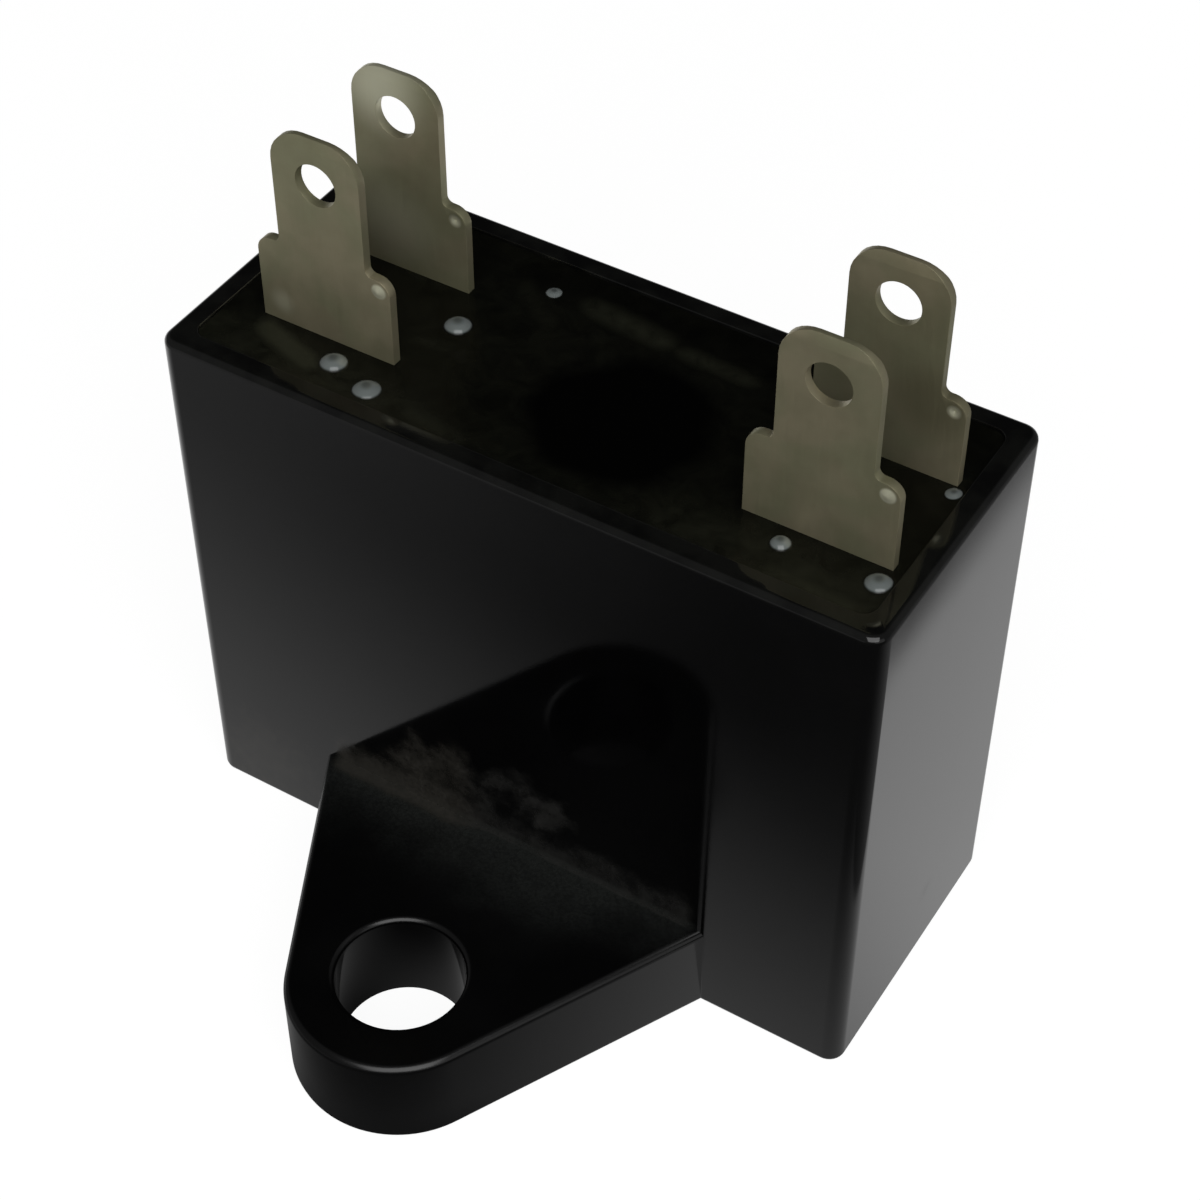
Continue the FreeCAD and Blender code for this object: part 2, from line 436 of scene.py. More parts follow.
def level_edges(bm, z, wanted):
    """Sharp edges that lie at one height and whose middle passes a test."""
    found = []
    for edge in bm.edges:
        first, second = (vert.co for vert in edge.verts)
        level = abs(first.z - z) <= same_place and abs(second.z - z) <= same_place
        if level and edge.is_manifold and edge.calc_face_angle(0) > moulded_edge_angle:
            if wanted((first + second) / 2):
                found.append(edge)
    return found


def extruded(bm, faces, way, keep_start=True):
    """Pushes faces along a way and gives the faces at the far end."""
    starts = list(faces)
    made = bmesh.ops.extrude_face_region(bm, geom=starts)["geom"]
    bmesh.ops.translate(bm, vec=way, verts=of_kind(BMVert, made))
    if not keep_start:
        bmesh.ops.delete(bm, geom=starts, context="FACES_ONLY")
    return of_kind(BMFace, made)


def narrow_to_floor(bm, verts):
    """Draws the cavity's lower end in by the draft of its walls."""
    narrowing = cavity_depth * math.tan(cavity_draft)
    bmesh.ops.scale(bm, verts=verts, space=Matrix.Translation((0, -cavity_middle_y, 0)),
                    vec=(1 - narrowing / cavity_half_x, 1 - narrowing / cavity_half_y, 1))


# Case

def plan_outline(bm):
    """Plan of the box and the ear as one face: the ear's sides run off the tip's arc."""
    start = bm.verts.new((ear_tip_radius * math.cos(side_turn),
                          ear_tip_middle - ear_tip_radius * math.sin(side_turn), 0))
    bmesh.ops.spin(bm, geom=[start], cent=(0, ear_tip_middle, 0), axis=UP,
                   angle=2 * side_turn - math.pi, steps=tip_segments)
    bm.verts.ensure_lookup_table()
    arc = list(bm.verts)
    corners = [
        (-ear_root_half_width, front_face, 0),
        (case_low.x, front_face, case_corner_radius),
        (case_low.x, case_high.y, case_corner_radius),
        (case_high.x, case_high.y, case_corner_radius),
        (case_high.x, front_face, case_corner_radius),
        (ear_root_half_width, front_face, 0),
    ]
    verts = [bm.verts.new((x, y, 0)) for x, y, radius in corners]
    bm.faces.new(arc + verts)
    for vert, (x, y, radius) in zip(verts, corners):
        if radius > 0:
            round_corner(bm, vert, radius)
    bm.faces.ensure_lookup_table()
    return bm.faces[0]


def open_cavity(bm, rim_face):
    """Sinks the cavity into the box and leaves the rim round its mouth."""
    mouth = flat_face(bm, [
        (Vector((x * cavity_half_x, cavity_middle_y + y * cavity_half_y, case_high.z)),
         cavity_corner_radius)
        for x, y in ((-1, -1), (1, -1), (1, 1), (-1, 1))
    ])
    mouth_edges = list(mouth.edges)
    floor, = extruded(bm, [mouth], UP * -cavity_depth, keep_start=False)
    narrow_to_floor(bm, floor.verts)
    rim_edges = list(rim_face.edges)
    bmesh.ops.delete(bm, geom=[rim_face], context="FACES_ONLY")
    bmesh.ops.bridge_loops(bm, edges=rim_edges + mouth_edges)
    bmesh.ops.recalc_face_normals(bm, faces=bm.faces)


def outside_cavity(middle):
    """Whether the middle of an edge lies outside the cavity's mouth."""
    past_x = abs(middle.x) > cavity_half_x + clear_of_edge
    past_y = abs(middle.y - cavity_middle_y) > cavity_half_y + clear_of_edge
    return past_x or past_y


def at_mouth(middle):
    """Whether the middle of an edge of the rim lies at the cavity's mouth."""
    return not outside_cavity(middle)


def on_ear_hole(middle):
    """Whether the middle of an edge lies on the ear's hole."""
    return math.hypot(middle.x, middle.y) < hole_radius + clear_of_edge


def off_ear_hole(middle):
    """Whether the middle of an edge lies away from the ear's hole."""
    return not on_ear_hole(middle)


def on_ear_outline(middle):
    """Whether the middle of an edge of the ear's top lies on the ear's sides or tip."""
    return middle.y < front_face - clear_of_edge and off_ear_hole(middle)


def at_ear_root(edge):
    """Whether an edge is the upright one where an ear's side meets the front wall."""
    first, second = (vert.co for vert in edge.verts)
    upright = abs(first.z - second.z) > ear_thickness / 2
    return upright and all(abs(abs(co.x) - ear_root_half_width) < clear_of_edge for co in (first, second))


def build_case(material):
    """Open box with the ear on its front, in one moulding."""
    bm = bmesh.new()
    plan = plan_outline(bm)
    open_face(bm, plan, [ring(bm, Vector((0, 0, 0)), hole_radius, UP, ear_hole_segments)])
    split_at(bm, (0, front_face, 0), ALONG)
    in_box = [face for face in bm.faces if face.calc_center_median().y > front_face]
    bmesh.ops.dissolve_faces(bm, faces=in_box)
    in_order(bm)
    ear_level = extruded(bm, bm.faces, UP * ear_thickness)
    box_level = [face for face in ear_level if face.calc_center_median().y > front_face]
    extruded(bm, box_level, UP * (case_high.z - ear_thickness), keep_start=False)
    in_order(bm)
    join_flat_faces(bm)
    open_cavity(bm, max(bm.faces, key=lambda face: face.calc_center_median().z))

    for level, wanted, radius, segments in (
            (case_high.z, outside_cavity, rim_radius, rounding_segments),
            (case_high.z, at_mouth, rim_inner_radius, fine_rounding_segments),
            (ear_thickness, on_ear_outline, ear_edge_radius, rounding_segments),
            (ear_thickness, on_ear_hole, hole_lip, lip_segments),
            (0, off_ear_hole, base_radius, fine_rounding_segments)):
        in_order(bm)
        round_edges(bm, level_edges(bm, level, wanted), radius, segments)
    in_order(bm)
    roots = [edge for edge in bm.edges if at_ear_root(edge)]
    round_edges(bm, roots, ear_root_fillet * math.tan(root_turn / 2), rounding_segments)
    even_shading(piece("case_shell", bm, material, "case"))


# Terminals

def blade_with_holes(bm, middle_x, skin_y, fold_level, tip_level, glint_layer):
    """Outer skin of one blade over the fold, with its detent hole and its pressed dimple."""
    half_body, half_blade = body_width / 2, blade_width / 2
    shoulder_level = case_high.z + shoulder_above_rim

    def at(x, z):
        """Point on the skin, with x counted from its middle line."""
        return Vector((middle_x + x, skin_y, z))

    blade = flat_face(bm, [
        (at(-half_body, fold_level), 0),
        (at(half_body, fold_level), 0),
        (at(half_body, shoulder_level), shoulder_radius),
        (at(half_blade, shoulder_level), shoulder_notch_radius),
        (at(half_blade, tip_level), tip_corner_radius),
        (at(-half_blade, tip_level), tip_corner_radius),
        (at(-half_blade, shoulder_level), shoulder_notch_radius),
        (at(-half_body, shoulder_level), shoulder_radius),
    ])
    detent = ring(bm, at(0, tip_level - detent_below_tip), detent_radius, -ALONG, detent_segments)
    dimple_middle = at(half_body - dimple_from_edge, shoulder_level - dimple_below_shoulder)
    dimple = ring(bm, dimple_middle, dimple_radius, -ALONG, small_hole_segments)
    open_face(bm, blade, [detent, dimple])
    press_dimple(bm, dimple, dimple_middle, -ALONG, glint_layer)


def press_dimple(bm, loop, middle, way, glint_layer):
    """Closes a round opening with a shallow dome that is pressed out along a way and flagged for a
    painted highlight.
    """
    cap = bmesh.ops.contextual_create(bm, geom=loop)["faces"][0]
    for _ in range(dimple_rings - 1):
        bmesh.ops.inset_individual(bm, faces=[cap], thickness=dimple_radius / dimple_rings)
    centre = bmesh.ops.poke(bm, faces=[cap])["verts"]
    inside = {vert for vert in bm.verts if (vert.co - middle).length < dimple_radius - same_place}
    for vert in inside | set(centre):
        share = (vert.co - middle).length / dimple_radius
        vert.co += way * dimple_height * (1 + math.cos(math.pi * share)) / 2
        vert[glint_layer] = 1


def thin_the_tips(bm, low, high):
    """Bevels both blades towards their tips, evenly from both faces of the sheet."""
    middle_y = (low.y + high.y) / 2
    bevel_start = high.z - tip_bevel_height
    split_at(bm, (0, 0, bevel_start), UP)
    for vert in bm.verts:
        if vert.co.z > bevel_start:
            skin = low.y if vert.co.y < middle_y else high.y
            blade_middle = skin + math.copysign(sheet_thickness / 2, middle_y - skin)
            share = (vert.co.z - bevel_start) / tip_bevel_height
            narrowing = 1 - share * tip_bevel_depth / (sheet_thickness / 2)
            vert.co.y = blade_middle + (vert.co.y - blade_middle) * narrowing


def build_terminal(side, material):
    """Stamped strip folded to a U, with a shouldered blade at each end."""
    low, high = box_mm("terminal_" + side)
    middle = (low + high) / 2
    fold_reach = fold_radius + sheet_thickness
    fold_level = low.z + fold_reach
    bm = bmesh.new()
    # The mark attribute flags the dimples, which the tin finish paints paler as a highlight
    glint_layer = bm.verts.layers.float.new("mark")
    blade_with_holes(bm, middle.x, low.y, fold_level, high.z, glint_layer)

    # The fold, the other blade by mirroring, and the web between the two folds
    foot = [edge for edge in bm.edges
            if all(abs(vert.co.z - fold_level) < same_place for vert in edge.verts)]
    folded = bmesh.ops.spin(bm, geom=foot, cent=(middle.x, low.y + fold_reach, fold_level),
                            axis=ACROSS, angle=math.pi / 2, steps=fold_segments)["geom_last"]
    web_start = of_kind(BMEdge, folded)
    far_side = bmesh.ops.duplicate(bm, geom=everything(bm))
    bmesh.ops.scale(bm, verts=of_kind(BMVert, far_side["geom"]), vec=(1, -1, 1),
                    space=Matrix.Translation((0, -middle.y, 0)))
    web_end = [far_side["edge_map"][edge] for edge in web_start]
    web, = bmesh.ops.bridge_loops(bm, edges=web_start + web_end)["faces"]
    lead = middle_mm("lead_" + side)
    lead_hole = ring(bm, Vector((lead.x, lead.y, low.z)), lead_hole_radius, UP, small_hole_segments)
    open_face(bm, web, [lead_hole])
    bmesh.ops.recalc_face_normals(bm, faces=bm.faces)
    bmesh.ops.solidify(bm, geom=list(bm.faces), thickness=sheet_thickness)

    thin_the_tips(bm, low, high)
    join_flat_faces(bm)
    cut_edges = [edge for edge in bm.edges if edge.calc_face_angle(0) > cut_edge_angle]
    round_edges(bm, cut_edges, sheet_edge_radius, sheet_edge_segments)
    even_shading(piece("terminal_strip_" + side, bm, material, "terminal_" + side))


# Resin

def climb(distance, width, height):
    """How far the resin has crept up something at a distance from it."""
    return height * max(0.0, 1 - distance / width) ** 2


def resin_level(x, y, blades):
    """Height of the resin's surface at one point, without bubbles."""
    wall_distance = min(cavity_half_x - abs(x), cavity_half_y - abs(y - cavity_middle_y))
    rise = climb(max(wall_distance, 0), climb_width_wall, climb_height_wall)
    for blade_x, blade_y in blades:
        gap_x = max(abs(x - blade_x) - body_width / 2, 0)
        gap_y = max(abs(y - blade_y) - sheet_thickness / 2, 0)
        rise = max(rise, climb(math.hypot(gap_x, gap_y), climb_width_blade, climb_height_blade))
    ripple = sum(share * noise.noise(Vector((x, y, layer)) * scale)
                 for scale, layer, share in ripple_waves)
    return fill_level + rise + ripple_height * ripple * (1 - rise / climb_height_wall)


def bubble_rise(distance, radius, height):
    """How far a bubble stands out of the surface at a distance from its middle."""
    if distance >= radius:
        return 0.0
    sphere = (radius ** 2 + height ** 2) / (2 * height)
    return math.sqrt(sphere ** 2 - distance ** 2) - (sphere - height)


def pull_into_corner(vert):
    """Moves a point that lies outside the cavity's round corner onto it."""
    past_x = abs(vert.co.x) - (cavity_half_x - cavity_corner_radius)
    past_y = abs(vert.co.y - cavity_middle_y) - (cavity_half_y - cavity_corner_radius)
    past = math.hypot(past_x, past_y)
    if past_x > 0 and past_y > 0 and past > cavity_corner_radius:
        pull = 1 - cavity_corner_radius / past
        vert.co.x -= math.copysign(past_x * pull, vert.co.x)
        vert.co.y -= math.copysign(past_y * pull, vert.co.y - cavity_middle_y)


def blade_middles():
    """Middle x and y of all four blades."""
    middles = []
    for side in SIDES:
        low, high = box_mm("terminal_" + side)
        for blade_y in (low.y + sheet_thickness / 2, high.y - sheet_thickness / 2):
            middles.append(((low.x + high.x) / 2, blade_y))
    return middles


def near_bubble(edge):
    """Whether an edge of the surface lies in or beside a bubble."""
    middle = (edge.verts[0].co + edge.verts[1].co) / 2
    return any(math.hypot(middle.x - x, middle.y - y) < radius + resin_cell
               for x, y, radius, height in bubbles)


def build_resin(material):
    """Resin that fills the box, creeps up walls and blades and holds a few bubbles."""
    blades = blade_middles()
    bm = bmesh.new()
    bubble_layer = bm.verts.layers.float.new("bubble")
    bmesh.ops.create_grid(bm, x_segments=round(2 * cavity_half_x / resin_cell),
                          y_segments=round(2 * cavity_half_y / resin_cell), size=1,
                          matrix=Matrix.Diagonal((cavity_half_x, cavity_half_y, 1, 1)))
    bmesh.ops.translate(bm, verts=bm.verts, vec=(0, cavity_middle_y, 0))
    fine_edges = [edge for edge in bm.edges if near_bubble(edge)]
    bmesh.ops.subdivide_edges(bm, edges=fine_edges, cuts=bubble_cuts, use_grid_fill=True)
    for vert in bm.verts:
        pull_into_corner(vert)
        level = min(resin_level(vert.co.x, vert.co.y, blades), resin_top)
        for x, y, radius, height in bubbles:
            distance = math.hypot(vert.co.x - x, vert.co.y - y)
            level += bubble_rise(distance, radius, height)
            vert[bubble_layer] = max(vert[bubble_layer], 1 - distance / radius)
        vert.co.z = level

    # Sides and underside, against the cavity's walls and floor
    border = [edge for edge in bm.edges if edge.is_boundary]
    skirt = bmesh.ops.extrude_edge_only(bm, edges=border)["geom"]
    skirt_verts = of_kind(BMVert, skirt)
    narrow_to_floor(bm, skirt_verts)
    for vert in skirt_verts:
        vert.co.z = case_floor
        vert[bubble_layer] = 0
    lower = [edge for edge in of_kind(BMEdge, skirt)
             if all(abs(vert.co.z - case_floor) < same_place for vert in edge.verts)]
    bmesh.ops.contextual_create(bm, geom=lower)
    bmesh.ops.recalc_face_normals(bm, faces=bm.faces)
    piece("resin_surface", bm, material, "resin_fill", sharp_angle=85)


# Material helpers

def new_finish(name):
    """A material, its nodes and its shader."""
    material = bpy.data.materials.new(name)
    material.use_nodes = True
    tree = material.node_tree
    return material, tree, tree.nodes["Principled BSDF"]


def node(tree, kind, inputs, **settings):
    """Adds one node. Its inputs are values, or the sockets that feed them."""
    made = tree.nodes.new("ShaderNode" + kind)
    for name, value in settings.items():
        setattr(made, name, value)
    for name, value in inputs.items():
        if isinstance(value, bpy.types.NodeSocket):
            tree.links.new(value, made.inputs[name])
        else:
            made.inputs[name].default_value = value
    return made


def maths(tree, operation, *values):
    """Arithmetic on one value, or on several from left to right."""
    result, *others = values
    for other in others or [0.0]:
        result = node(tree, "Math", {0: result, 1: other}, operation=operation).outputs[0]
    return result


def plus(tree, *values):
    """Sum of several values."""
    return maths(tree, "ADD", *values)


def times(tree, *values):
    """Product of several values."""
    return maths(tree, "MULTIPLY", *values)


def highest(tree, *values):
    """Highest of several values."""
    return maths(tree, "MAXIMUM", *values)


def gap(tree, first, second):
    """Distance between two values."""
    return maths(tree, "ABSOLUTE", maths(tree, "SUBTRACT", first, second))


def fall(tree, value, span, levels=(1.0, 0.0)):
    """Goes smoothly from one level to another while a value goes through a span."""
    return node(tree, "MapRange", {"Value": value, "From Min": span[0], "From Max": span[1],
                                   "To Min": levels[0], "To Max": levels[1]},
                interpolation_type="SMOOTHSTEP").outputs[0]


def mixed(tree, share, first, second):
    """One colour over another."""
    colours = [value if isinstance(value, bpy.types.NodeSocket) else (*value, 1)
               for value in (first, second)]
    return node(tree, "Mix", {0: share, 6: colours[0], 7: colours[1]}, data_type="RGBA").outputs[2]


def place_mm(tree):
    """Place on the part in millimetres."""
    coordinates = node(tree, "TexCoord", {}).outputs["Object"]
    return node(tree, "VectorMath", {0: coordinates, "Scale": 1 / MM}, operation="SCALE").outputs[0]


def along_axes(tree, place):
    """The three coordinates of a place."""
    return node(tree, "SeparateXYZ", {"Vector": place}).outputs


def distance_to(tree, place, point):
    """Distance of a place from a point."""
    return node(tree, "VectorMath", {0: place, 1: point}, operation="DISTANCE").outputs["Value"]


def cloudy(tree, place, scale, detail, roughness=0.5, distortion=0.0):
    """Soft noise between 0 and 1."""
    return node(tree, "TexNoise", {"Vector": place, "Scale": scale, "Detail": detail,
                                   "Roughness": roughness, "Distortion": distortion}).outputs[0]


def off_middle(tree, cloud):
    """Noise that goes both ways from nought."""
    return maths(tree, "SUBTRACT", cloud, NOISE_MIDDLE)


def group_node(tree, group, inputs):
    """Places a shared effect in a material with its own values."""
    return node(tree, "Group", inputs, node_tree=group).outputs


def new_effect(name, inputs, outputs):
    """Empty shared effect with named inputs (name, kind, value) and outputs."""
    group = bpy.data.node_groups.new(name, "ShaderNodeTree")
    for label, kind, value in inputs:
        socket = group.interface.new_socket(label, in_out="INPUT", socket_type="NodeSocket" + kind)
        if value is not None:
            socket.default_value = value
    for label in outputs:
        group.interface.new_socket(label, in_out="OUTPUT", socket_type="NodeSocketFloat")
    return group, group.nodes.new("NodeGroupInput").outputs, group.nodes.new("NodeGroupOutput").inputs


def bumped(tree, shader, height, strength, distance):
    """Gives the shader a fine relief. Distance is in millimetres."""
    relief = node(tree, "Bump", {"Height": height, "Strength": strength, "Distance": distance * MM})
    tree.links.new(relief.outputs[0], shader.inputs["Normal"])


def settle(shader, **values):
    """Sets plain values on the shader's own sockets."""
    for name, value in values.items():
        shader.inputs[name.replace("_", " ")].default_value = value


# Shared effects

def make_grain():
    """Fine unevenness of a moulded or cast surface, and broad soft patches."""
    group, given, result = new_effect(
        "surface_grain",
        [("Place", "Vector", None), ("Grain Scale", "Float", 6.0), ("Patch Scale", "Float", 0.15)],
        ["Height", "Patches"])
    fine = cloudy(group, given["Place"], given["Grain Scale"], detail=3.0, roughness=0.6)
    broad = cloudy(group, given["Place"], given["Patch Scale"], detail=4.0, roughness=0.55)
    group.links.new(fine, result["Height"])
    group.links.new(fall(group, broad, patch_span, FULL), result["Patches"])
    return group


def make_dust():
    """Fine settled dust: thick where its cover is near 1, broken up towards its edge."""
    group, given, result = new_effect(
        "settled_dust",
        [("Place", "Vector", None), ("Cover", "Float", 0.5), ("Cloud Scale", "Float", 0.8),
         ("Speck Scale", "Float", 5.0)],
        ["Mask"])
    clouds = cloudy(group, given["Place"], given["Cloud Scale"], detail=5.0, roughness=0.65)
    specks = cloudy(group, given["Place"], given["Speck Scale"], detail=2.0)
    broken = plus(group, given["Cover"], off_middle(group, clouds))
    soft = fall(group, broken, dust_cover_span, FULL)
    speckled = times(group, soft, fall(group, specks, dust_speck_span, dust_speck_range))
    group.links.new(speckled, result["Mask"])
    return group


def make_streaks():
    """Fine lines along one way, as rolling, winding or drawing leaves them, and broad stains."""
    group, given, result = new_effect(
        "drawn_streaks",
        [("Place", "Vector", None), ("Stretch", "Vector", (1.0, 1.0, 1.0)),
         ("Line Scale", "Float", 4.0)],
        ["Lines", "Stains"])
    stretched = node(group, "VectorMath", {0: given["Place"], 1: given["Stretch"]},
                     operation="MULTIPLY").outputs[0]
    lines = cloudy(group, stretched, given["Line Scale"], detail=4.0, roughness=0.7)
    stains = cloudy(group, given["Place"], scale=0.28, detail=3.0, distortion=0.6)
    group.links.new(lines, result["Lines"])
    group.links.new(fall(group, stains, patch_span, FULL), result["Stains"])
    return group


grain_effect = make_grain()
dust_effect = make_dust()
streak_effect = make_streaks()


# Case plastic

def at_ear_corner(tree, place):
    """X, and the distances from the level of the ear's top and from the front wall's plane."""
    x, y, z = along_axes(tree, place)
    return x, gap(tree, z, ear_thickness), gap(tree, y, front_face)


def dust_on_wall(tree, place, wandering, on_ear, left_share):
    """Dust on the front wall over the ear: a low strip, and a few clouds."""
    x, above, before = at_ear_corner(tree, place)
    lowered = plus(tree, above, times(tree, wandering, strip_wander),
                   fall(tree, x, strip_end_span, (strip_end_drop, 0.0)))
    cover = times(tree, fall(tree, lowered, strip_height_span),
                  fall(tree, left_share, FULL, strip_cover_range))
    drift = node(tree, "TexNoise", {"Vector": place, "Scale": 0.6, "Detail": 4.0}).outputs["Color"]
    sideways = node(tree, "VectorMath", {0: drift, 1: [NOISE_MIDDLE] * 3}, operation="SUBTRACT")
    drifted = node(tree, "VectorMath", {0: sideways.outputs[0], 1: cloud_drift, 2: place},
                   operation="MULTIPLY_ADD").outputs[0]
    for cloud_x, cloud_z, reach, strength in wall_clouds:
        from_cloud = distance_to(tree, drifted, (cloud_x, front_face, cloud_z))
        cover = highest(tree, cover, fall(tree, from_cloud, (cloud_core, reach), (strength, 0.0)))
    strip_depth = fall(tree, left_share, FULL, strip_depth_range)
    in_corner = fall(tree, maths(tree, "DIVIDE", before, strip_depth), strip_edge_span)
    wall_cover = times(tree, cover, in_corner, on_ear)
    return group_node(tree, dust_effect, {"Place": place, "Cover": wall_cover})["Mask"]


def haze_on_ear(tree, place, wandering, on_ear):
    """Grainy haze on the ear's top, strongest at the front wall."""
    x, above, before = at_ear_corner(tree, place)
    drawn_back = plus(tree, fall(tree, x, haze_right_span, (0.0, haze_right_loss)),
                      fall(tree, x, haze_left_span, (haze_left_loss, 0.0)))
    from_wall = plus(tree, before, drawn_back, times(tree, wandering, haze_wander))
    near_wall = times(tree, fall(tree, from_wall, haze_span), fall(tree, above, ear_top_skin))
    specks = cloudy(tree, place, scale=7.0, detail=3.0)
    return times(tree, maths(tree, "POWER", near_wall, haze_power),
                 fall(tree, specks, speck_span, haze_speck_range), on_ear)


def case_finish():
    """Black moulded plastic with a clear gloss, dust on the wall over the ear and haze on the ear."""
    material, tree, shader = new_finish("black_moulded_plastic")
    place = place_mm(tree)
    x, above, before = at_ear_corner(tree, place)
    z = along_axes(tree, place)[2]
    grain = group_node(tree, grain_effect, {"Place": place, "Grain Scale": 7.0, "Patch Scale": 0.12})
    wander = cloudy(tree, place, scale=0.5, detail=3.0)
    wandering = off_middle(tree, wander)
    on_ear = fall(tree, maths(tree, "ABSOLUTE", x),
                  (ear_root_half_width - ear_side_margin, ear_root_half_width))
    left_share = fall(tree, x, strip_left_span)
    wall_dust = dust_on_wall(tree, place, wandering, on_ear, left_share)
    from_corner = distance_to(tree, place, corner_dust_middle)
    corner_cover = fall(tree, from_corner, corner_dust_span, (corner_dust_cover, 0.0))
    corner_dust = group_node(tree, dust_effect, {"Place": place, "Cover": corner_cover,
                                                 "Cloud Scale": 1.6, "Speck Scale": 3.0})["Mask"]

    plain = mixed(tree, grain["Patches"], plastic_black, plastic_worn)
    rim_wear = times(tree, fall(tree, z, rim_wear_span, FULL),
                     fall(tree, wander, rim_wear_patches, rim_wear_range))
    edged = mixed(tree, rim_wear, plain, rim_worn)
    hazy = mixed(tree, haze_on_ear(tree, place, wandering, on_ear), edged, ear_haze)
    dust = mixed(tree, fall(tree, left_share, FULL, dust_warmth_range), dust_grey, dust_warm)
    dusty = mixed(tree, highest(tree, wall_dust, corner_dust), hazy, dust)
    tree.links.new(dusty, shader.inputs["Base Color"])

    gloss = fall(tree, grain["Patches"], FULL, plastic_roughness)
    from_smudge = plus(tree, distance_to(tree, place, smudge_middle), wander)
    smudge = fall(tree, from_smudge, smudge_span, (smudge_strength, 0.0))
    ear_top = times(tree, fall(tree, above, ear_top_skin), on_ear,
                    fall(tree, before, ear_top_dulled_span, (0.0, ear_top_dulled)))
    dulled = highest(tree, wall_dust, ear_top, smudge)
    roughness = plus(tree, gloss, times(tree, dulled, dust_roughness))
    tree.links.new(roughness, shader.inputs["Roughness"])
    bumped(tree, shader, grain["Height"], strength=0.15, distance=0.006)
    settle(shader, IOR=1.5)
    return material


# Potting resin

def marks_and_reflections_in_resin(tree, x, y, wandering):
    """Pale marks in the resin, partly haze and partly painted reflection, each along its own sloping
    line.
    """
    marked = 0.0
    for middle_x, middle_y, slope, half_length, half_width, strength in pale_marks_and_reflections:
        from_middle = maths(tree, "SUBTRACT", x, middle_x)
        line = plus(tree, times(tree, from_middle, slope), middle_y)
        from_line = plus(tree, gap(tree, y, line), wandering)
        length_share = maths(tree, "DIVIDE", maths(tree, "ABSOLUTE", from_middle), half_length)
        mark = times(tree, fall(tree, from_line, (0.0, half_width), (strength, 0.0)),
                     fall(tree, length_share, mark_end_span))
        marked = highest(tree, marked, mark)
    return marked


def resin_finish():
    """Glossy near-black potting resin with a faint olive haze that is partly painted reflection, and pale
    bubbles whose pale ring is partly a painted glint.
    """
    material, tree, shader = new_finish("dark_potting_resin")
    place = place_mm(tree)
    x, y = along_axes(tree, place)[:2]
    grain = group_node(tree, grain_effect, {"Place": place, "Grain Scale": 1.4})
    soft = cloudy(tree, place, scale=0.8, detail=3.0, roughness=0.6, distortion=0.7)
    bend = cloudy(tree, place, scale=0.3, detail=1.0)
    from_clear = plus(tree, distance_to(tree, place, clear_middle), times(tree, bend, clear_bend))
    around_clear = fall(tree, from_clear, clear_edge_span, FULL)
    front_strip = times(tree, fall(tree, y, front_strip_span, front_strip_range),
                        fall(tree, maths(tree, "ABSOLUTE", x), front_middle_span, front_middle_range))
    back_strip = fall(tree, y, back_strip_span, back_strip_range)
    marked = marks_and_reflections_in_resin(tree, x, y, off_middle(tree, soft))
    paler = highest(tree, marked, front_strip, back_strip)
    mottling = node(tree, "MapRange", {
        "Value": soft, "From Min": speck_span[0], "From Max": speck_span[1],
        "To Min": haze_and_reflection_mottling[0], "To Max": haze_and_reflection_mottling[1]}).outputs[0]
    haze_and_reflection = times(tree, paler, mottling, around_clear)

    # Pale ring on each bubble, partly a painted glint
    bubble = node(tree, "Attribute", {}, attribute_name="bubble").outputs["Fac"]
    bubble_skin_and_glint = times(tree, fall(tree, bubble, bubble_edge_span, FULL),
                        fall(tree, bubble, bubble_crown_span, bubble_crown_range))
    # The haze colour also carries the painted reflections
    hazy = mixed(tree, haze_and_reflection, resin_black, resin_haze_and_reflection)
    base = mixed(tree, bubble_skin_and_glint, hazy, bubble_pale_and_glint)
    tree.links.new(base, shader.inputs["Base Color"])
    roughness = maths(tree, "SUBTRACT", fall(tree, haze_and_reflection, glossy_span, resin_roughness),
                      times(tree, bubble_skin_and_glint, bubble_gloss))
    tree.links.new(roughness, shader.inputs["Roughness"])
    tree.links.new(bubble_skin_and_glint, shader.inputs["Coat Weight"])
    bumped(tree, shader, grain["Height"], strength=0.15, distance=0.03)
    settle(shader, IOR=1.53, Specular_IOR_Level=0.12, Coat_Roughness=0.08)
    return material


# Metals and films

def tin_plate_finish():
    """Dull tin over brass: warm grey, with rolling lines and broad stains, painted shade on the
    back-right blade, and painted highlights on the dimples and a few spots.
    """
    material, tree, shader = new_finish("tinned_strip")
    place = place_mm(tree)
    streaks = group_node(tree, streak_effect, {"Place": place, "Stretch": (1.0, 1.0, 0.06),
                                               "Line Scale": 6.0})
    grain = group_node(tree, grain_effect, {"Place": place, "Grain Scale": 9.0, "Patch Scale": 0.5})
    plain = mixed(tree, streaks["Stains"], tin_cool, tin_warm)
    # Darker tin: broad stains, and painted shade on the back-right blade
    painted_shade = fall(tree, distance_to(tree, place, painted_shade_middle), painted_shade_span, (painted_shade_strength, 0.0))
    stain_and_shade = highest(tree, times(tree, grain["Patches"], tin_stain_strength), painted_shade)
    stained_and_shaded = mixed(tree, stain_and_shade, plain, tin_dark)
    # Paler tin: painted highlights on the dimples, flagged by the mark attribute, and painted light on a
    # few spots
    painted_highlight = node(tree, "Attribute", {}, attribute_name="mark").outputs["Fac"]
    for middle, reach, strength in painted_light_spots:
        from_spot = distance_to(tree, place, middle)
        spot = fall(tree, from_spot, (painted_light_core * reach, reach), (strength, 0.0))
        painted_highlight = highest(tree, painted_highlight, spot)
    tree.links.new(mixed(tree, painted_highlight, stained_and_shaded, painted_tin_highlight), shader.inputs["Base Color"])
    roughness = fall(tree, streaks["Lines"], speck_span, tin_roughness)
    tree.links.new(roughness, shader.inputs["Roughness"])
    relief = plus(tree, streaks["Lines"], grain["Height"])
    bumped(tree, shader, relief, strength=0.15, distance=0.008)
    settle(shader, Metallic=0.75)
    return material


